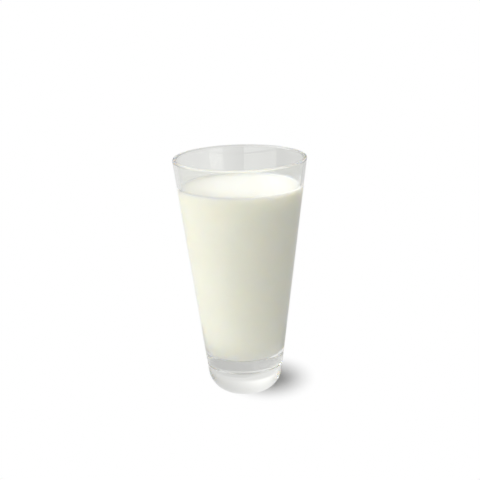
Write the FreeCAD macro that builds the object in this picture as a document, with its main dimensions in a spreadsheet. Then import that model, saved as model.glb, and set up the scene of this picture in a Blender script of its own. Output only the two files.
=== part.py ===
"""A tall conical glass tumbler with a thick, round-cornered base, filled with milk.

Each piece is a half section, drawn on the XZ plane and turned once round Z.
The origin is the centre of the ring that the glass stands on, +Z is up, and
sizes are in millimetres.
"""

import FreeCAD, Part
import math
import os

import Sketcher

SIZES = {
    # the outside of the glass
    "glass_height": 150.0,
    "rim_diameter": 82.8,
    "cone_base_diameter": 43.5,  # of the straight wall, carried on down to the table
    "corner_radius": 15.5,  # the large rounding under the wall
    "toe_radius": 3.3,  # the small rounding from there to the foot
    "foot_diameter": 28.2,  # outer edge of the flat ring that the glass stands on
    "punt_diameter": 21.0,  # the shallow hollow under the base
    "punt_depth": 0.9,
    # the inside of the glass
    "wall_thickness": 2.1,
    "base_thickness": 22.4,
    "bowl_radius": 19.0,  # the rounding from the inner wall to the inner floor
    # the milk
    "milk_drop": 17.8,  # from the rim down to the milk's flat surface
    "milk_clearance": 0.05,  # all round, between the milk and the glass
    "meniscus_rise": 1.0,  # how far the milk climbs the wall
    "meniscus_reach": 2.2,  # how far in from the wall it starts to climb
}

FULL_TURN = 360.0
RIGHT_ANGLE = 90.0
HALF_TURN = 180.0
START, END, CENTRE = 1, 2, 3  # the points of a sketch edge
H_AXIS, V_AXIS = -1, -2  # the sketch's own axes
ORIGIN = (-1, 1)  # the point where they cross


def make_sheet(doc):
    """Give every driving size a named cell in the spreadsheet."""
    sheet = doc.addObject("Spreadsheet::Sheet", "Sizes")
    for row, (name, value) in enumerate(SIZES.items(), start=1):
        sheet.set(f"A{row}", name)
        sheet.set(f"B{row}", str(value))
        sheet.setAlias(f"B{row}", name)
    doc.recompute()
    return sheet


class Section:
    """A closed half section on the XZ plane, whose sizes are bound to the sheet."""

    def __init__(self, body, name):
        self.sketch = body.newObject("Sketcher::SketchObject", name)
        plane = next(face for face in body.Origin.OriginFeatures if face.Role == "XZ_Plane")
        self.sketch.AttachmentSupport = [(plane, "")]
        self.sketch.MapMode = "FlatFace"

    def line(self, start, end, construction=False):
        """Add a straight edge between two (radius, height) points."""
        edge = Part.LineSegment(FreeCAD.Vector(*start, 0), FreeCAD.Vector(*end, 0))
        return self.sketch.addGeometry(edge, construction)

    def arc(self, centre, radius, start_deg, end_deg):
        """Add an arc that runs anticlockwise between two angles."""
        circle = Part.Circle(FreeCAD.Vector(*centre, 0), FreeCAD.Vector(0, 0, 1), radius)
        edge = Part.ArcOfCircle(circle, math.radians(start_deg), math.radians(end_deg))
        return self.sketch.addGeometry(edge, False)

    def tie(self, kind, *where):
        """Add a constraint."""
        return self.sketch.addConstraint(Sketcher.Constraint(kind, *where))

    def size(self, formula, kind, *where):
        """Add a constraint whose value follows a formula on the sheet's cells."""
        index = self.tie(kind, *where, self.sketch.evalExpression(formula))
        self.sketch.setExpression(f"Constraints[{index}]", formula)

    def radius_at(self, formula, edge, point):
        """Set how far a point lies from the centre line."""
        self.size(formula, "DistanceX", *ORIGIN, edge, point)

    def height_at(self, formula, edge, point):
        """Set how far a point stands above the table."""
        self.size(formula, "DistanceY", *ORIGIN, edge, point)

    def outer_cone(self, cone):
        """Add the construction line that the outer wall lies on."""
        guide = self.line((cone.base_radius, 0), (cone.rim_radius, cone.height), True)
        self.tie("PointOnObject", guide, START, H_AXIS)
        self.radius_at("Sizes.cone_base_diameter / 2", guide, START)
        self.radius_at("Sizes.rim_diameter / 2", guide, END)
        self.height_at("Sizes.glass_height", guide, END)
        return guide


class Cone:
    """The outer wall's cone, from the table to the rim, and what lies along it."""

    def __init__(self, sheet):
        self.height = sheet.glass_height
        self.rim_radius = sheet.rim_diameter / 2
        self.base_radius = sheet.cone_base_diameter / 2
        self.slope = (self.rim_radius - self.base_radius) / self.height
        self.lean = math.atan(self.slope)
        self.lean_deg = math.degrees(self.lean)

    def inside(self, height, depth):
        """Return the point that lies at a height, a depth in from the cone."""
        return (self.base_radius + self.slope * height - depth / math.cos(self.lean), height)

    def touch(self, centre, radius):
        """Return where a circle on this centre touches a line parallel to the cone."""
        return (centre[0] + radius * math.cos(self.lean), centre[1] - radius * math.sin(self.lean))


def corner_centre(sheet, cone):
    """Return the centre of the corner arc, which touches the wall and the toe arc."""
    toe = (sheet.foot_diameter / 2, sheet.toe_radius)
    spacing = sheet.corner_radius - sheet.toe_radius
    sideways = cone.inside(0, sheet.corner_radius)[0] - toe[0]
    # (sideways + slope z)^2 + (z - toe height)^2 = spacing^2, and the higher z is meant
    square = cone.slope**2 + 1
    linear = 2 * (sideways * cone.slope - toe[1])
    constant = sideways**2 + toe[1] ** 2 - spacing**2
    height = (math.sqrt(linear**2 - 4 * square * constant) - linear) / (2 * square)
    return cone.inside(height, sheet.corner_radius)


def angle_deg(centre, point):
    """Return the angle at which a point is seen from a centre."""
    return math.degrees(math.atan2(point[1] - centre[1], point[0] - centre[0]))


def cap_radius(half_width, depth):
    """Return the radius of the arc that is this deep over this half width."""
    return (half_width**2 + depth**2) / (2 * depth)


def draw_underside(section, sheet):
    """Draw the hollow, the flat foot and the toe, and return the hollow and the toe."""
    punt_radius = sheet.punt_diameter / 2
    foot_radius = sheet.foot_diameter / 2
    dome_radius = cap_radius(punt_radius, sheet.punt_depth)
    dome_centre = (0, sheet.punt_depth - dome_radius)
    dome = section.arc(
        dome_centre, dome_radius, angle_deg(dome_centre, (punt_radius, 0)), RIGHT_ANGLE
    )
    foot = section.line((punt_radius, 0), (foot_radius, 0))
    toe_centre = (foot_radius, sheet.toe_radius)
    seam_deg = angle_deg(corner_centre(sheet, Cone(sheet)), toe_centre)
    toe = section.arc(toe_centre, sheet.toe_radius, -RIGHT_ANGLE, seam_deg)
    section.tie("PointOnObject", dome, CENTRE, V_AXIS)
    section.tie("PointOnObject", dome, END, V_AXIS)
    section.tie("PointOnObject", foot, START, H_AXIS)
    section.tie("PointOnObject", foot, END, H_AXIS)
    section.tie("Coincident", dome, START, foot, START)
    section.tie("Tangent", foot, END, toe, START)
    section.height_at("Sizes.punt_depth", dome, END)
    section.radius_at("Sizes.punt_diameter / 2", foot, START)
    section.radius_at("Sizes.foot_diameter / 2", foot, END)
    section.size("Sizes.toe_radius", "Radius", toe)
    return dome, toe


def draw_outside(section, sheet, toe):
    """Draw the corner and the wall from the toe up to the rim, and return the wall."""
    cone = Cone(sheet)
    centre = corner_centre(sheet, cone)
    seam_deg = angle_deg(centre, (sheet.foot_diameter / 2, sheet.toe_radius))
    corner = section.arc(centre, sheet.corner_radius, seam_deg, -cone.lean_deg)
    rim_start = cone.touch(rim_centre(sheet, cone), sheet.wall_thickness / 2)
    wall = section.line(cone.touch(centre, sheet.corner_radius), rim_start)
    guide = section.outer_cone(cone)
    section.tie("PointOnObject", wall, START, guide)
    section.tie("PointOnObject", wall, END, guide)
    section.tie("Tangent", toe, END, corner, START)
    section.tie("Tangent", corner, END, wall, START)
    section.size("Sizes.corner_radius", "Radius", corner)
    return wall


def rim_centre(sheet, cone):
    """Return the middle of the rim's half round."""
    half = sheet.wall_thickness / 2
    return cone.inside(sheet.glass_height - half, half)


def bowl_centre(sheet, cone):
    """Return the centre of the rounding between the inner wall and the inner floor."""
    height = sheet.base_thickness + sheet.bowl_radius
    return cone.inside(height, sheet.wall_thickness + sheet.bowl_radius)


def draw_inside(section, sheet, outer_wall):
    """Draw the rim, the inner wall and the bowl down to the floor, and return the floor."""
    cone = Cone(sheet)
    half = sheet.wall_thickness / 2
    middle = rim_centre(sheet, cone)
    bowl_middle = bowl_centre(sheet, cone)
    rim = section.arc(middle, half, -cone.lean_deg, HALF_TURN - cone.lean_deg)
    wall = section.line(cone.touch(middle, -half), cone.touch(bowl_middle, sheet.bowl_radius))
    bowl = section.arc(bowl_middle, sheet.bowl_radius, -RIGHT_ANGLE, -cone.lean_deg)
    floor = section.line((bowl_middle[0], sheet.base_thickness), (0, sheet.base_thickness))
    section.tie("Tangent", outer_wall, END, rim, START)
    section.tie("Tangent", rim, END, wall, START)
    section.tie("Tangent", wall, END, bowl, END)
    section.tie("Tangent", bowl, START, floor, START)
    section.tie("Parallel", outer_wall, wall)
    section.tie("Horizontal", floor)
    section.tie("PointOnObject", floor, END, V_AXIS)
    section.size("Sizes.wall_thickness", "Distance", wall, END, outer_wall)
    section.height_at("Sizes.glass_height - Sizes.wall_thickness / 2", rim, CENTRE)
    section.size("Sizes.bowl_radius", "Radius", bowl)
    section.height_at("Sizes.base_thickness", floor, END)
    return floor


def turn(body, section):
    """Revolve a half section once round the Z axis."""
    solid = body.newObject("PartDesign::Revolution", f"{body.Name}Turned")
    solid.Profile = section.sketch
    solid.ReferenceAxis = (section.sketch, ["V_Axis"])
    solid.Angle = FULL_TURN
    section.sketch.Visibility = False


def make_body(doc, label):
    """Add an empty body that stands at the origin under a name of its own."""
    body = doc.addObject("PartDesign::Body", label.capitalize())
    body.Label = label
    body.Placement = FreeCAD.Placement()
    return body


def make_tumbler(doc, sheet):
    """Make the glass: one section that runs round the foot, the wall and the bowl."""
    body = make_body(doc, "tumbler")
    section = Section(body, "TumblerSection")
    dome, toe = draw_underside(section, sheet)
    outer_wall = draw_outside(section, sheet, toe)
    floor = draw_inside(section, sheet, outer_wall)
    middle = section.line((0, sheet.base_thickness), (0, sheet.punt_depth))
    section.tie("Coincident", floor, END, middle, START)
    section.tie("Coincident", middle, END, dome, END)
    turn(body, section)
    return body


def make_milk(doc, sheet):
    """Make the milk: it fills the bowl to its level and climbs a little at the wall."""
    body = make_body(doc, "milk")
    section = Section(body, "MilkSection")
    cone = Cone(sheet)
    gap = sheet.milk_clearance
    level = sheet.glass_height - sheet.milk_drop
    bottom = sheet.base_thickness + gap
    centre = bowl_centre(sheet, cone)
    bowl_radius = sheet.bowl_radius - gap
    wall_top = cone.inside(level + sheet.meniscus_rise, sheet.wall_thickness + gap)
    curl_radius = cap_radius(sheet.meniscus_reach, sheet.meniscus_rise)
    curl_centre = (wall_top[0] - sheet.meniscus_reach, level + curl_radius)

    floor = section.line((0, bottom), (centre[0], bottom))
    bowl = section.arc(centre, bowl_radius, -RIGHT_ANGLE, -cone.lean_deg)
    wall = section.line(cone.touch(centre, bowl_radius), wall_top)
    curl = section.arc(curl_centre, curl_radius, -RIGHT_ANGLE, angle_deg(curl_centre, wall_top))
    surface = section.line((curl_centre[0], level), (0, level))
    middle = section.line((0, level), (0, bottom))
    guide = section.outer_cone(cone)

    section.tie("Tangent", floor, END, bowl, START)
    section.tie("Tangent", bowl, END, wall, START)
    section.tie("Coincident", wall, END, curl, END)
    section.tie("Tangent", curl, START, surface, START)
    section.tie("Coincident", surface, END, middle, START)
    section.tie("Coincident", middle, END, floor, START)
    section.tie("PointOnObject", surface, END, V_AXIS)
    section.tie("PointOnObject", floor, START, V_AXIS)
    section.tie("Horizontal", floor)
    section.tie("Horizontal", surface)
    side = "Sizes.wall_thickness + Sizes.milk_clearance"
    section.size(side, "Distance", wall, START, guide)
    section.size(side, "Distance", wall, END, guide)
    section.size("Sizes.bowl_radius - Sizes.milk_clearance", "Radius", bowl)
    section.height_at("Sizes.base_thickness + Sizes.milk_clearance", floor, START)
    section.height_at("Sizes.glass_height - Sizes.milk_drop", surface, END)
    section.size("Sizes.meniscus_rise", "DistanceY", curl, START, curl, END)
    section.size("Sizes.meniscus_reach", "DistanceX", curl, START, curl, END)
    turn(body, section)
    return body


def check(doc, bodies):
    """Stop if an object failed, a sketch is loose or a shape is unusable."""
    failed = [o.Name for o in doc.Objects if "Invalid" in o.State or "Error" in o.State]
    if failed:
        raise RuntimeError(f"these objects failed: {failed}")
    for sketch in doc.findObjects("Sketcher::SketchObject"):
        if sketch.solve() or not sketch.FullyConstrained:
            raise RuntimeError(f"{sketch.Name} isn't fully constrained")
    for body in bodies:
        if body.Shape.isNull() or not body.Shape.isValid() or len(body.Shape.Solids) != 1:
            raise RuntimeError(f"{body.Label} isn't one valid solid")


def main():
    """Build the document, check it and write one STEP file for each piece."""
    doc = FreeCAD.newDocument("MilkGlass")
    sheet = make_sheet(doc)
    bodies = [make_tumbler(doc, sheet), make_milk(doc, sheet)]
    doc.recompute()
    check(doc, bodies)
    os.makedirs("parts", exist_ok=True)
    for body in bodies:
        body.Shape.exportStep(f"parts/{body.Label}.step")
        print(f"{body.Label}: {body.Shape.Volume:.1f} mm3, {body.Shape.BoundBox}")


main()
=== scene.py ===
"""A tall glass of milk: its looks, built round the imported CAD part.

The glass and the milk are each drawn as a half section and spun once round Z.
Lengths are in metres, in the frame that the CAD part stands in: the origin is
the centre of the ring that the glass stands on, +Z is up, and -Y is the front.
"""

import logging
import math
from collections.abc import Mapping, Sequence
from dataclasses import dataclass, field
from enum import Enum
from itertools import pairwise
from typing import Any, ClassVar

import bpy
from mathutils import Matrix, Vector


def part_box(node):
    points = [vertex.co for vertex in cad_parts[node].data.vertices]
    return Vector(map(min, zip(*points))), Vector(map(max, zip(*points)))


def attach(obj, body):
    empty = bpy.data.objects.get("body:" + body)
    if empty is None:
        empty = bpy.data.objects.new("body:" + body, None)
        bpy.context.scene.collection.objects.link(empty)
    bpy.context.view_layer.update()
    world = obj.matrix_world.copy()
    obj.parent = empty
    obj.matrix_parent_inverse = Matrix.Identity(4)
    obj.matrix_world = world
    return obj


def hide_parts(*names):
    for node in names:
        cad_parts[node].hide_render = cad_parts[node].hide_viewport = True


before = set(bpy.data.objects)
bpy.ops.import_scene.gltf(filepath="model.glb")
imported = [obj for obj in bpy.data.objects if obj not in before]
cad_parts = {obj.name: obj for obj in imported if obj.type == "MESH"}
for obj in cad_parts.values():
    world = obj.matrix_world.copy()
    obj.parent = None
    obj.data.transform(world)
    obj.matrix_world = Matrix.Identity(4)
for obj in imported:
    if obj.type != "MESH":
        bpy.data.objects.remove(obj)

MM = 0.001
FULL_TURN = math.tau
QUARTER_TURN = math.pi / 2
SAME_POINT = 0.001 * MM  # points of an outline that are nearer than this are one
MERGE_DISTANCE = 0.002 * MM  # and so are vertices of a mesh that are nearer than this
SHORT_PART = 0.3 * MM  # the length of the parts that hold the shading of a straight line's ends
SHORT_SHARE = 0.25  # of the line, at most
WHITE = (1.0, 1.0, 1.0, 1.0)
BLACK = (0.0, 0.0, 0.0)
BODY = "root"  # the one body of a part without joints
LOG = logging.getLogger("milk_glass")

Colour = tuple[float, float, float]
Point = tuple[float, float]  # a radius and a height
Range = tuple[float, float]  # where a smooth step starts, and where it is complete


# --------------------------------------------------------------------------
# Shader nodes


class Socket:
    """A number that comes out of a node, which Python's own operators work on."""

    def __init__(self, nodes: "Nodes", output: bpy.types.NodeSocket) -> None:
        """Keep the node group that the number is in, and where it comes out."""
        self.nodes = nodes
        self.output = output

    def _maths(self, operation: str, first: Any, second: Any) -> "Socket":
        """Add a Math node.

        Args:
            operation: The Math node's operation.
            first: A number or a socket.
            second: A number or a socket.

        Returns:
            The socket that the result comes out of.
        """
        return self.nodes.add("ShaderNodeMath", {"operation": operation}, {0: first, 1: second})

    def __add__(self, other: Any) -> "Socket":
        """Return the sum of the two."""
        return self._maths("ADD", self, other)

    __radd__ = __add__

    def __sub__(self, other: Any) -> "Socket":
        """Return this number less the other."""
        return self._maths("SUBTRACT", self, other)

    def __rsub__(self, other: Any) -> "Socket":
        """Return the other number less this one."""
        return self._maths("SUBTRACT", other, self)

    def __mul__(self, other: Any) -> "Socket":
        """Return the product of the two."""
        return self._maths("MULTIPLY", self, other)

    __rmul__ = __mul__

    def above_zero(self) -> "Socket":
        """Return this number, or 0 where it is negative."""
        return self._maths("MAXIMUM", self, 0.0)

    def to_power(self, power: float) -> "Socket":
        """Return this number raised to a power."""
        return self._maths("POWER", self, power)

    def rising(self, low: float, high: float) -> "Socket":
        """Turn this number into a smooth step.

        Args:
            low: Where the step starts from 0.
            high: Where the step has reached 1.

        Returns:
            The socket of the step.
        """
        settings = {"interpolation_type": "SMOOTHSTEP"}
        return self.nodes.add("ShaderNodeMapRange", settings, {"Value": self, 1: low, 2: high})


class Nodes:
    """The nodes of one material or world."""

    def __init__(self, tree: bpy.types.NodeTree) -> None:
        """Start from an empty tree."""
        self.tree = tree
        tree.nodes.clear()

    def node(
        self,
        kind: str,
        settings: Mapping[str, Any] | None = None,
        inputs: Mapping[str | int, Any] | None = None,
    ) -> bpy.types.Node:
        """Add any node.

        Args:
            kind: The node's type.
            settings: The node's own settings, which are set first.
            inputs: The values or the sockets that go into its inputs.

        Returns:
            The node.
        """
        node = self.tree.nodes.new(kind)
        for name, value in (settings or {}).items():
            setattr(node, name, value)
        for name, value in (inputs or {}).items():
            if isinstance(value, Socket):
                self.tree.links.new(value.output, node.inputs[name])
            else:
                node.inputs[name].default_value = value
        return node

    def add(
        self,
        kind: str,
        settings: Mapping[str, Any] | None = None,
        inputs: Mapping[str | int, Any] | None = None,
        output: str | int = 0,
    ) -> Socket:
        """Add any node that something comes out of.

        Args:
            kind: The node's type.
            settings: The node's own settings, which are set first.
            inputs: The values or the sockets that go into its inputs.
            output: Which of its outputs is wanted.

        Returns:
            The socket of that output.
        """
        return Socket(self, self.node(kind, settings, inputs).outputs[output])

    def place(self) -> Socket:
        """Return the place on the piece, in object coordinates."""
        return self.add("ShaderNodeTexCoord", output="Object")

    def part_of(self, vector: Socket, axis: str) -> Socket:
        """Return one of the three parts, X, Y or Z, of a vector."""
        return self.add("ShaderNodeSeparateXYZ", inputs={"Vector": vector}, output=axis)

    def noise(self, place: Socket, scale: float, detail: float) -> Socket:
        """Return cloudy noise from 0 to 1, with this many blobs in a metre."""
        inputs = {"Vector": place, "Scale": scale, "Detail": detail}
        return self.add("ShaderNodeTexNoise", inputs=inputs)

    def length(self, across: Socket, along: Socket) -> Socket:
        """Return how long the step of these two parts is."""
        return (across * across + along * along).to_power(0.5)

    def blend(self, share: Any, first: Any, second: Any) -> Socket:
        """Blend two colours.

        Args:
            share: How much of the second colour there is, from 0 to 1.
            first: A colour or a socket.
            second: A colour or a socket.

        Returns:
            The socket of the blended colour.
        """
        settings = {"data_type": "RGBA"}
        colours = [c if isinstance(c, Socket) else (*c, 1.0) for c in (first, second)]
        inputs = {0: share, 6: colours[0], 7: colours[1]}
        return self.add("ShaderNodeMix", settings, inputs, output=2)

    def choose(self, share: Any, first: Socket, second: Socket) -> Socket:
        """Return the first shader where the share is 0 and the second where it is 1."""
        return self.add("ShaderNodeMixShader", inputs={0: share, 1: first, 2: second})

    def glow(self, strength: float) -> Socket:
        """Return a shader that glows white, evenly and this strongly."""
        return self.add("ShaderNodeEmission", inputs={"Strength": strength})

    def light_ray(self, kind: str) -> Socket:
        """Return 1 for rays of this kind, such as "Is Camera Ray", and 0 for others."""
        return self.add("ShaderNodeLightPath", output=kind)

    def finish(self, kind: str, shader: Socket) -> None:
        """Send a shader to the output node of this type."""
        self.node(kind, inputs={"Surface": shader})


def new_material(name: str) -> tuple[bpy.types.Material, Nodes]:
    """Make an empty material and give it back with its nodes."""
    material = bpy.data.materials.new(name)
    material.use_nodes = True
    return material, Nodes(material.node_tree)


# --------------------------------------------------------------------------
# Finishes


@dataclass(frozen=True)
class GlassFinish:
    """Clear pressed glass: smooth, very slightly uneven and hardly tinted."""

    tint: Colour = (0.98, 0.985, 0.96)
    ior: float = 1.5
    wave_scale: float = 45.0  # slow waves of the pressed surface, in a metre
    wave_depth: float = 0.02 * MM
    wave_detail: float = 1.0
    wave_strength: float = 0.1
    smear_scale: float = 120.0
    smear_detail: float = 3.0
    smear_range: Range = (0.45, 0.75)  # of the noise
    smear_roughness: float = 0.012
    rim_roughness: float = 0.28  # the melted rim scatters what shows through it
    rim_fade: Range = (1.7 * MM, 1.0 * MM)  # how far under the rim that is

    def material(self, rim_height: float) -> bpy.types.Material:
        """Make the material.

        Args:
            rim_height: The height of the top of the rim.

        Returns:
            The material.
        """
        material, nodes = new_material("clear glass")
        place = nodes.place()
        waves = nodes.noise(place, self.wave_scale, self.wave_detail)
        smears = nodes.noise(place, self.smear_scale, self.smear_detail).rising(*self.smear_range)
        bump_inputs = {
            "Strength": self.wave_strength,
            "Distance": self.wave_depth,
            "Height": waves,
        }
        bump = nodes.add("ShaderNodeBump", inputs=bump_inputs)
        start, end = (rim_height - depth for depth in self.rim_fade)
        rim = nodes.part_of(place, "Z").rising(start, end)
        shader = nodes.add(
            "ShaderNodeBsdfPrincipled",
            inputs={
                "Base Color": (*self.tint, 1.0),
                "Roughness": smears * self.smear_roughness + rim * self.rim_roughness,
                "IOR": self.ior,
                "Transmission Weight": 1.0,
                "Normal": bump,
            },
        )
        nodes.finish("ShaderNodeOutputMaterial", shader)
        return material


@dataclass(frozen=True)
class MilkFinish:
    """Whole milk: warm white and cloudy in depth, with painted shade that makes it greyer at its
    thin edge and darker at its foot.
    """

    body: Colour = (0.95, 0.936, 0.836)
    cloud: Colour = (0.936, 0.921, 0.816)
    # painted shade: the thin edge at the wall is painted greyer, as it looks where little light
    # scatters back from it
    edge_shade: Colour = (0.89, 0.89, 0.845)
    # painted shade: the milk is painted darker at its bottom, where it curves under
    foot_shade: Colour = (0.64, 0.63, 0.56)
    edge_shade_depth: float = 1.5 * MM  # the painted shade of the thin edge starts this far under the surface
    foot_shade_fade: Range = (2.2 * MM, 1.1 * MM)  # how far above the floor the painted shade at the foot reaches
    scatter_radius: Colour = (1.0, 0.9, 0.7)
    scatter_scale: float = 7 * MM
    ior: float = 1.35
    cloud_scale: float = 60.0
    cloud_detail: float = 2.0
    cloud_range: Range = (0.3, 0.7)  # of the noise
    side_roughness: float = 0.8
    top_roughness: float = 0.18
    top_fade: Range = (0.3 * MM, 0.1 * MM)  # how far under the surface the gloss is

    def material(self, floor: float, level: float, edge_top: float) -> bpy.types.Material:
        """Make the material.

        Args:
            floor: The height of the milk's flat bottom.
            level: The height of the milk's flat surface.
            edge_top: The height that its edge climbs to at the wall.

        Returns:
            The material.
        """
        material, nodes = new_material("milk")
        place = nodes.place()
        height = nodes.part_of(place, "Z")
        clouds = nodes.noise(place, self.cloud_scale, self.cloud_detail).rising(*self.cloud_range)
        colour = nodes.blend(clouds, self.body, self.cloud)
        # painted shade: greyer towards the thin edge at the wall
        edge_shade_share = height.rising(level - self.edge_shade_depth, edge_top)
        colour = nodes.blend(edge_shade_share, colour, self.edge_shade)
        # painted shade: darker at the bottom of the milk
        start, end = (floor + rise for rise in self.foot_shade_fade)
        colour = nodes.blend(1.0 - height.rising(end, start), colour, self.foot_shade)
        on_top = height.rising(*(level - depth for depth in self.top_fade))
        roughness = on_top * (self.top_roughness - self.side_roughness) + self.side_roughness
        shader = nodes.add(
            "ShaderNodeBsdfPrincipled",
            inputs={
                "Base Color": colour,
                "Roughness": roughness,
                "IOR": self.ior,
                "Subsurface Weight": 1.0,
                "Subsurface Radius": self.scatter_radius,
                "Subsurface Scale": self.scatter_scale,
            },
        )
        nodes.finish("ShaderNodeOutputMaterial", shader)
        return material


@dataclass(frozen=True)
class TableFinish:
    """A pale table top with a painted shadow beside the glass, and white a little way off.

    The camera sees the painted shadow and the white. All other rays see painted light and shade:
    the table glows in greys and whites that make the glass look as it does in a bright room, and is
    painted dim behind the glass.
    """

    pale: float = 0.34  # the matte paleness inside the painted shadow beside the glass, as it looks
    dim: float = 0.43  # painted shade: the matte paleness of the dim place behind the glass, as it lights and shows in the glass
    far_left: float = 0.79  # painted light: how brightly the table glows further off, as it shows in the glass
    far_right: float = 0.66
    front_near: float = 1.12  # painted light: how brightly the table glows in front, which lights the foot of the milk
    front_far: float = 0.78
    front_fade: Range = (0.05, 0.14)  # how far out the near turns into the far
    far_change: Range = (-50 * MM, 15 * MM)  # where the left turns into the right
    front_change: Range = (-40 * MM, 20 * MM)  # where the front turns into the back
    shade_x: float = 15.5 * MM  # the middle of the painted shadow
    shade_y: float = 13.0 * MM
    shade_squeeze: float = 0.73  # its width across for each metre along
    shade_fade: Range = (2 * MM, 32 * MM)  # how far from there the painted shadow fades to white
    dim_y: float = 60 * MM  # the middle of the painted shade behind the glass
    dim_squeeze: float = 0.6  # its length along for each metre across
    dim_fade: Range = (0.04, 0.06)  # how far from there it fades
    grain_scale: float = 400.0
    grain_detail: float = 2.0
    grain_depth: float = 0.02

    def material(self) -> bpy.types.Material:
        """Make the material.

        Returns:
            The material.
        """
        material, nodes = new_material("pale table")
        place = nodes.place()
        across = nodes.part_of(place, "X")
        along = nodes.part_of(place, "Y")
        grain = nodes.noise(place, self.grain_scale, self.grain_detail) * self.grain_depth
        # painted shadow: the camera sees the lamps' own shade on a matte beside the glass, cut to
        # this place and faded into glowing white
        shade_along = (along - self.shade_y) * self.shade_squeeze
        beside = nodes.length(across - self.shade_x, shade_along).rising(*self.shade_fade)
        seen = nodes.choose(beside, self._matte(nodes, self.pale, grain), nodes.glow(1.0))
        # painted light: for all rays but the camera's, the table glows, brighter in front and to
        # the left
        outside = nodes.length(across, along).rising(*self.front_fade)
        front = nodes.choose(outside, nodes.glow(self.front_near), nodes.glow(self.front_far))
        right = across.rising(*self.far_change)
        beyond = nodes.choose(right, nodes.glow(self.far_left), nodes.glow(self.far_right))
        bright = nodes.choose(along.rising(*self.front_change), front, beyond)
        # painted shade: a dim matte place behind the glass, amid the glowing table
        behind = nodes.length(across * self.dim_squeeze, along - self.dim_y)
        dim = self._matte(nodes, self.dim, grain)
        lit = nodes.choose(behind.rising(*self.dim_fade), dim, bright)
        shader = nodes.choose(nodes.light_ray("Is Camera Ray"), lit, seen)
        nodes.finish("ShaderNodeOutputMaterial", shader)
        return material

    @staticmethod
    def _matte(nodes: Nodes, level: float, grain: Socket) -> Socket:
        """Return a matte shader of this paleness, with its faint grain."""
        colour = nodes.blend(grain, (level, level, level), BLACK)
        return nodes.add("ShaderNodeBsdfDiffuse", inputs={"Color": colour})


# --------------------------------------------------------------------------
# Outlines and turning


@dataclass
class Outline:
    """The points of a half section, from one end to the other."""

    points: list[Point] = field(default_factory=list)

    def corner(self, point: Point) -> None:
        """Add a point, unless the outline already ends there."""
        if not self.points or math.dist(self.points[-1], point) > SAME_POINT:
            self.points.append(point)

    def straight(self, end: Point, parts: int) -> None:
        """Run straight to a point, with short first and last parts that hold the shading.

        Args:
            end: Where the line ends.
            parts: How many equal parts lie between the two short ones.
        """
        start = self.points[-1]
        length = math.dist(start, end)
        short = min(SHORT_PART / length, SHORT_SHARE)
        shares = [short + (1 - 2 * short) * step / parts for step in range(parts + 1)]
        for share in [*shares, 1.0]:
            self.corner(tuple(a + (b - a) * share for a, b in zip(start, end)))

    def arc(self, centre: Point, radius: float, start: float, end: float, parts: int) -> None:
        """Run round an arc.

        Args:
            centre: The arc's centre.
            radius: Its radius.
            start: The angle that it starts at, in radians.
            end: The angle that it ends at.
            parts: How many parts it is cut into.
        """
        for step in range(parts + 1):
            angle = start + (end - start) * step / parts
            across, up = radius * math.cos(angle), radius * math.sin(angle)
            self.corner((centre[0] + across, centre[1] + up))


def angle_at(centre: Point, point: Point) -> float:
    """Return the angle, in radians, at which a point is seen from a centre."""
    return math.atan2(point[1] - centre[1], point[0] - centre[0])


def cap_radius(half_width: float, depth: float) -> float:
    """Return the radius of the arc that is this deep over this half width."""
    return (half_width**2 + depth**2) / (2 * depth)


def turned(name: str, outline: Outline, steps: int) -> bpy.types.Object:
    """Spin a half section once round Z.

    Args:
        name: The piece's name.
        outline: The half section, which starts and ends on Z.
        steps: How many steps the turn is made in.

    Returns:
        The closed piece, smooth all over, with its object at the origin.
    """
    first_radius, first_height = outline.points[0]
    bpy.ops.object.select_all(action="DESELECT")
    bpy.ops.mesh.primitive_plane_add(size=MM, location=(first_radius, 0, first_height))
    piece = bpy.context.object
    piece.name = name
    piece.data.name = name
    bpy.ops.object.transform_apply(location=True, rotation=True, scale=True)
    bpy.ops.object.mode_set(mode="EDIT")
    bpy.ops.mesh.select_all(action="SELECT")
    bpy.ops.mesh.merge(type="CENTER")
    for (radius, height), (next_radius, next_height) in pairwise(outline.points):
        step = (next_radius - radius, 0, next_height - height)
        bpy.ops.mesh.extrude_region_move(TRANSFORM_OT_translate={"value": step})
    bpy.ops.mesh.select_all(action="SELECT")
    bpy.ops.mesh.spin(steps=steps, angle=FULL_TURN, center=(0, 0, 0), axis=(0, 0, 1))
    bpy.ops.mesh.select_all(action="SELECT")
    bpy.ops.mesh.remove_doubles(threshold=MERGE_DISTANCE)
    bpy.ops.mesh.normals_make_consistent(inside=False)
    bpy.ops.object.mode_set(mode="OBJECT")
    bpy.ops.object.shade_smooth()
    return piece


# --------------------------------------------------------------------------
# The glass and the milk


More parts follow.
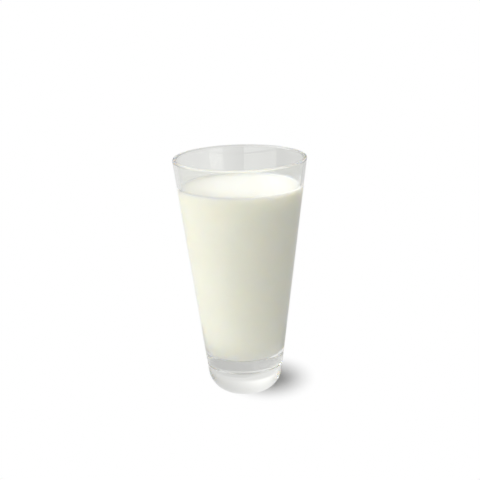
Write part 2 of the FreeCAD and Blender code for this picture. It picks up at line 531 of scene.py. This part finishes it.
@dataclass
class Bowl:
    """What the glass and the milk share: the wall's cone and the bowl's rounding."""

    rim_radius: float
    height: float
    cone_base_radius: float = 21.75 * MM  # the outer wall, carried on down to the table
    wall_thickness: float = 2.1 * MM
    base_thickness: float = 22.4 * MM
    rounding: float = 19.0 * MM
    steps: int = 256  # of one turn
    wall_parts: int = 24  # of the outlines
    rounding_parts: int = 32
    floor_parts: int = 4
    fitting_rounds: ClassVar[int] = 8  # far more than the rim's radius needs to settle

    @classmethod
    def around(cls, widest: float, height: float) -> "Bowl":
        """Make the bowl of a glass of this height that is this wide at its rounded rim.

        Args:
            widest: The largest radius, which lies on the rim's rounding.
            height: The height of the rim.

        Returns:
            The bowl, whose wall carried on to the rim's height is a little wider.
        """
        bowl = cls(rim_radius=widest, height=height)
        half = bowl.wall_thickness / 2
        for _ in range(cls.fitting_rounds):
            centre = bowl.inside(height - half, half)
            bowl = cls(rim_radius=bowl.rim_radius + widest - centre[0] - half, height=height)
        return bowl

    @property
    def slope(self) -> float:
        """Return how far the wall moves out for each metre up."""
        return (self.rim_radius - self.cone_base_radius) / self.height

    @property
    def lean(self) -> float:
        """Return the wall's angle from upright."""
        return math.atan(self.slope)

    def inside(self, height: float, depth: float) -> Point:
        """Return the point at a height that lies a depth in from the outer cone."""
        radius = self.cone_base_radius + self.slope * height - depth / math.cos(self.lean)
        return (radius, height)

    def touch(self, centre: Point, radius: float) -> Point:
        """Return where a circle touches a line parallel to the wall."""
        return (
            centre[0] + radius * math.cos(self.lean),
            centre[1] - radius * math.sin(self.lean),
        )

    def rounding_centre(self) -> Point:
        """Return the centre of the rounding between the inner wall and the inner floor."""
        return self.inside(self.base_thickness + self.rounding, self.wall_thickness + self.rounding)


@dataclass
class Tumbler:
    """The glass: a heavy round-cornered base under a plain leaning wall."""

    bowl: Bowl
    corner_radius: float = 15.5 * MM
    toe_radius: float = 3.3 * MM
    foot_radius: float = 14.1 * MM
    punt_radius: float = 10.5 * MM
    punt_depth: float = 0.9 * MM
    ring_height: float = 17.9 * MM  # a fine moulded ring round the base
    ring_width: float = 2.2 * MM
    ring_depth: float = 0.5 * MM
    punt_parts: int = 10  # of the outline
    foot_parts: int = 2
    toe_parts: int = 10
    corner_parts: int = 28
    shoulder_parts: int = 4
    ring_parts: int = 16
    rim_parts: int = 16
    finish: GlassFinish = GlassFinish()

    def corner_centre(self) -> Point:
        """Work out where the large corner's centre lies.

        Returns:
            The centre of the arc that touches both the wall and the toe's arc.
        """
        spacing = self.corner_radius - self.toe_radius
        sideways = self.bowl.inside(0, self.corner_radius)[0] - self.foot_radius
        square = self.bowl.slope**2 + 1
        linear = 2 * (sideways * self.bowl.slope - self.toe_radius)
        constant = sideways**2 + self.toe_radius**2 - spacing**2
        height = (math.sqrt(linear**2 - 4 * square * constant) - linear) / (2 * square)
        return self.bowl.inside(height, self.corner_radius)

    def outline(self) -> Outline:
        """Draw the half section.

        Returns:
            The outline, from the punt under the base, up the outside, over the rim
            and down the inside to the middle of the floor.
        """
        bowl = self.bowl
        lean = bowl.lean
        half = bowl.wall_thickness / 2
        dome = cap_radius(self.punt_radius, self.punt_depth)
        dome_centre = (0.0, self.punt_depth - dome)
        dome_edge = angle_at(dome_centre, (self.punt_radius, 0))
        toe_centre = (self.foot_radius, self.toe_radius)
        corner = self.corner_centre()
        seam = angle_at(corner, toe_centre)
        rim = bowl.inside(bowl.height - half, half)
        rounding = bowl.rounding_centre()
        line = Outline()
        line.arc(dome_centre, dome, QUARTER_TURN, dome_edge, self.punt_parts)
        line.straight((self.foot_radius, 0), self.foot_parts)
        line.arc(toe_centre, self.toe_radius, -QUARTER_TURN, seam, self.toe_parts)
        line.arc(corner, self.corner_radius, seam, -lean, self.corner_parts)
        line.straight(bowl.inside(self.ring_height - self.ring_width / 2, 0), self.shoulder_parts)
        for step in range(1, self.ring_parts):
            share = step / self.ring_parts
            depth = self.ring_depth * math.sin(math.pi * share) ** 2
            line.corner(bowl.inside(self.ring_height + self.ring_width * (share - 0.5), depth))
        line.corner(bowl.inside(self.ring_height + self.ring_width / 2, 0))
        line.straight(bowl.touch(rim, half), bowl.wall_parts)
        line.arc(rim, half, -lean, math.pi - lean, self.rim_parts)
        line.straight(bowl.touch(rounding, bowl.rounding), bowl.wall_parts)
        line.arc(rounding, bowl.rounding, -lean, -QUARTER_TURN, bowl.rounding_parts)
        line.straight((0.0, bowl.base_thickness), bowl.floor_parts)
        return line

    def build(self) -> bpy.types.Object:
        """Make the glass and dress it.

        Returns:
            The piece.
        """
        piece = turned("glass_tumbler", self.outline(), self.bowl.steps)
        piece.data.materials.append(self.finish.material(self.bowl.height))
        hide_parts("tumbler")
        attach(piece, BODY)
        return piece


@dataclass
class Milk:
    """The milk: it fills the bowl, reaches just into the glass and climbs a little at the wall."""

    bowl: Bowl
    level: float
    reach: float = 0.1 * MM  # into the glass, so that no air shows between the two
    edge_rise: float = 1.0 * MM
    edge_width: float = 2.2 * MM
    edge_parts: int = 12  # of the outline
    surface_parts: int = 8
    finish: MilkFinish = MilkFinish()

    def outline(self) -> Outline:
        """Draw the half section.

        Returns:
            The outline, from the middle of the bottom to the middle of the surface.
        """
        bowl = self.bowl
        rounding = bowl.rounding_centre()
        radius = bowl.rounding + self.reach
        edge_top = self.level + self.edge_rise
        line = Outline([(0.0, bowl.base_thickness - self.reach)])
        line.straight((rounding[0], bowl.base_thickness - self.reach), bowl.floor_parts)
        line.arc(rounding, radius, -QUARTER_TURN, -bowl.lean, bowl.rounding_parts)
        line.straight(bowl.inside(edge_top, bowl.wall_thickness - self.reach), bowl.wall_parts)
        wall = bowl.inside(edge_top, bowl.wall_thickness)
        line.corner(wall)
        curl = cap_radius(self.edge_width, self.edge_rise)
        centre = (wall[0] - self.edge_width, self.level + curl)
        line.arc(centre, curl, angle_at(centre, wall), -QUARTER_TURN, self.edge_parts)
        line.straight((0.0, self.level), self.surface_parts)
        return line

    def build(self) -> bpy.types.Object:
        """Make the milk and dress it.

        Returns:
            The piece.
        """
        piece = turned("milk_fill", self.outline(), self.bowl.steps)
        edge_top = self.level + self.edge_rise
        material = self.finish.material(self.bowl.base_thickness, self.level, edge_top)
        piece.data.materials.append(material)
        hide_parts("milk")
        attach(piece, BODY)
        return piece


# --------------------------------------------------------------------------
# The studio


class Side(Enum):
    """Which way a light stands from the glass, as a bearing from the front."""

    FRONT = 0.0
    RIGHT = 90.0
    BACK = 180.0
    LEFT = -90.0


@dataclass(frozen=True)
class Panel:
    """A flat soft light that faces the glass and isn't seen by the camera."""

    name: str
    side: Side
    turn: float  # degrees further round, to the right of the viewer
    rise: float  # degrees up from the table
    width: float
    height: float
    power: float  # in watts
    distance: float = 1.1

    def build(self, aim: Vector) -> bpy.types.Object:
        """Make the light.

        Args:
            aim: The point that it faces.

        Returns:
            The light's object.
        """
        bearing = math.radians(self.side.value + self.turn)
        rise = math.radians(self.rise)
        away = Vector(
            (
                math.sin(bearing) * math.cos(rise),
                -math.cos(bearing) * math.cos(rise),
                math.sin(rise),
            )
        )
        data = bpy.data.lights.new(self.name, "AREA")
        data.shape = "RECTANGLE"
        data.size = self.width
        data.size_y = self.height
        data.energy = self.power
        light = bpy.data.objects.new(self.name, data)
        light.location = aim + away * self.distance
        light.rotation_euler = away.to_track_quat("Z", "Y").to_euler()
        light.visible_camera = False
        bpy.context.scene.collection.objects.link(light)
        return light


@dataclass(frozen=True)
class Room:
    """The room's soft light: how bright each of its six sides is to the glass.

    The camera sees plain white.
    """

    right: float = 0.59
    left: float = 0.9
    back: float = 0.78
    front: float = 1.22
    above: float = 0.3
    below: float = 0.3
    glow: float = 0.4  # added above the horizon, round the bearing that is brightest
    glow_spread: float = 8.0  # the higher, the narrower
    glow_towards: Colour = (-0.42, 0.907, 0.0)
    glow_rise: Range = (0.05, 0.2)  # how far up it is, as a share of straight up
    falloff: float = 2.0  # of each side's brightness; with 2 the sides blend evenly

    def build(self) -> bpy.types.World:
        """Make the world.

        Returns:
            The world, which the scene now uses.
        """
        world = bpy.data.worlds.new("room")
        world.use_nodes = True
        nodes = Nodes(world.node_tree)
        direction = nodes.add("ShaderNodeTexCoord", output="Generated")
        pairs = (
            ("X", self.right, self.left),
            ("Y", self.back, self.front),
            ("Z", self.above, self.below),
        )
        strength: Any = 0.0
        for axis, ahead, behind in pairs:
            part = nodes.part_of(direction, axis)
            for facing, brightness in ((part, ahead), (0.0 - part, behind)):
                strength = facing.above_zero().to_power(self.falloff) * brightness + strength
        settings = {"operation": "DOT_PRODUCT"}
        inputs = {0: direction, 1: self.glow_towards}
        nearness = nodes.add("ShaderNodeVectorMath", settings, inputs, output="Value")
        risen = nodes.part_of(direction, "Z").rising(*self.glow_rise)
        glow = nearness.above_zero().to_power(self.glow_spread) * risen * self.glow
        strength = glow + strength
        white = nodes.add("ShaderNodeBackground", inputs={"Color": WHITE, "Strength": 1.0})
        soft = nodes.add("ShaderNodeBackground", inputs={"Color": WHITE, "Strength": strength})
        shader = nodes.choose(nodes.light_ray("Is Camera Ray"), soft, white)
        nodes.finish("ShaderNodeOutputWorld", shader)
        bpy.context.scene.world = world
        return world


@dataclass(frozen=True)
class LightPaths:
    """How far light is followed through the glass and the milk, and how it is smoothed."""

    most: int = 24
    through: int = 24
    mirrored: int = 16
    scattered: int = 5
    filter_width: float = 1.8

    def apply(self) -> None:
        """Set the scene's light paths, smoothing and colours."""
        scene = bpy.context.scene
        scene.view_settings.view_transform = "Standard"
        scene.cycles.max_bounces = self.most
        scene.cycles.transmission_bounces = self.through
        scene.cycles.glossy_bounces = self.mirrored
        scene.cycles.diffuse_bounces = self.scattered
        scene.cycles.use_denoising = True
        scene.cycles.denoising_input_passes = "RGB_ALBEDO_NORMAL"
        scene.cycles.filter_width = self.filter_width


@dataclass
class Studio:
    """The table, the room's light and the soft lights round the glass."""

    centre: Vector
    table_radius: float = 1.5
    table_thickness: float = 0.012
    table_bevel: float = 0.003
    table_sides: int = 96
    bevel_parts: int = 4
    room: Room = Room()
    light_paths: LightPaths = LightPaths()
    panels: tuple[Panel, ...] = (
        Panel("key", Side.LEFT, turn=15, rise=45, width=1.4, height=1.4, power=11),
        Panel("left_side", Side.LEFT, turn=0, rise=32, width=1.0, height=0.9, power=6.4),
        Panel("overhead", Side.BACK, turn=0, rise=85, width=1.2, height=1.2, power=0.3),
        Panel("left_window", Side.FRONT, turn=-41, rise=8, width=1.4, height=0.9, power=4.2),
        Panel("right_window", Side.FRONT, turn=44.5, rise=8, width=0.52, height=0.9, power=1),
    )
    finish: TableFinish = TableFinish()

    def build_table(self) -> bpy.types.Object:
        """Make the round table top, with soft edges.

        Returns:
            The table.
        """
        bpy.ops.object.select_all(action="DESELECT")
        bpy.ops.mesh.primitive_circle_add(
            vertices=self.table_sides,
            radius=self.table_radius,
            fill_type="NGON",
            location=(0, 0, 0),
        )
        table = bpy.context.object
        table.name = "table"
        bpy.ops.object.mode_set(mode="EDIT")
        bpy.ops.mesh.select_all(action="SELECT")
        bpy.ops.mesh.extrude_region_move(
            TRANSFORM_OT_translate={"value": (0, 0, -self.table_thickness)}
        )
        bpy.ops.mesh.select_all(action="SELECT")
        bpy.ops.mesh.normals_make_consistent(inside=False)
        bpy.ops.mesh.bevel(
            offset=self.table_bevel, segments=self.bevel_parts, affect="EDGES"
        )
        bpy.ops.object.mode_set(mode="OBJECT")
        table.data.materials.append(self.finish.material())
        return table

    def build(self) -> None:
        """Make the table, the room and the lights, and set how light is followed."""
        self.build_table()
        self.room.build()
        for panel in self.panels:
            panel.build(self.centre)
        self.light_paths.apply()


@dataclass
class Viewpoint:
    """The camera: far off, a little above the rim and turned very slightly."""

    aim: Vector
    distance: float = 745.4 * MM
    rise: float = 0.2966  # radians down onto the glass
    roll: float = 0.0278
    focal_length: float = 88.86  # in millimetres, on a frame 36 wide
    offset_x: float = 0.001515  # how far right of the frame's centre the aim lies, in focal lengths
    offset_y: float = 0.028757  # and how far below

    def build(self) -> bpy.types.Object:
        """Make the camera.

        Returns:
            The camera, which the scene now uses.
        """
        data = bpy.data.cameras.new("camera")
        data.lens = self.focal_length
        camera = bpy.data.objects.new("camera", data)
        bpy.context.scene.collection.objects.link(camera)
        forward = Vector((0, math.cos(self.rise), -math.sin(self.rise)))
        right = Vector((1, 0, 0))
        rows = Matrix((right, right.cross(forward), -forward))
        tilt = (
            Matrix.Rotation(self.roll, 3, "Z")
            @ Matrix.Rotation(-math.atan(self.offset_y), 3, "X")
            @ Matrix.Rotation(-math.atan(self.offset_x), 3, "Y")
        )
        turned_rows = (tilt @ rows).transposed()
        camera.matrix_world = Matrix.Translation(self.aim - forward * self.distance) @ (
            turned_rows.to_4x4()
        )
        bpy.context.scene.camera = camera
        return camera


def main() -> None:
    """Build every piece in order."""
    logging.basicConfig(level=logging.INFO, format="%(name)s: %(message)s")
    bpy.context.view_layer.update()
    low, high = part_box("tumbler")
    milk_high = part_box("milk")[1]
    bowl = Bowl.around(widest=high.x, height=high.z)
    LOG.info("the CAD glass is %.4f wide and %.4f high", high.x - low.x, high.z)
    LOG.info("its wall meets the rim's height at a radius of %.6f", bowl.rim_radius)
    LOG.info("the CAD milk reaches %.4f", milk_high.z)
    milk = Milk(bowl, level=milk_high.z - Milk.edge_rise)
    for part in (Tumbler(bowl), milk):
        piece = part.build()
        LOG.info("%s: %d faces", piece.name, len(piece.data.polygons))
    centre = Vector((0, 0, bowl.height / 2))
    Studio(centre).build()
    Viewpoint(centre).build()


if __name__ == "__main__":
    main()
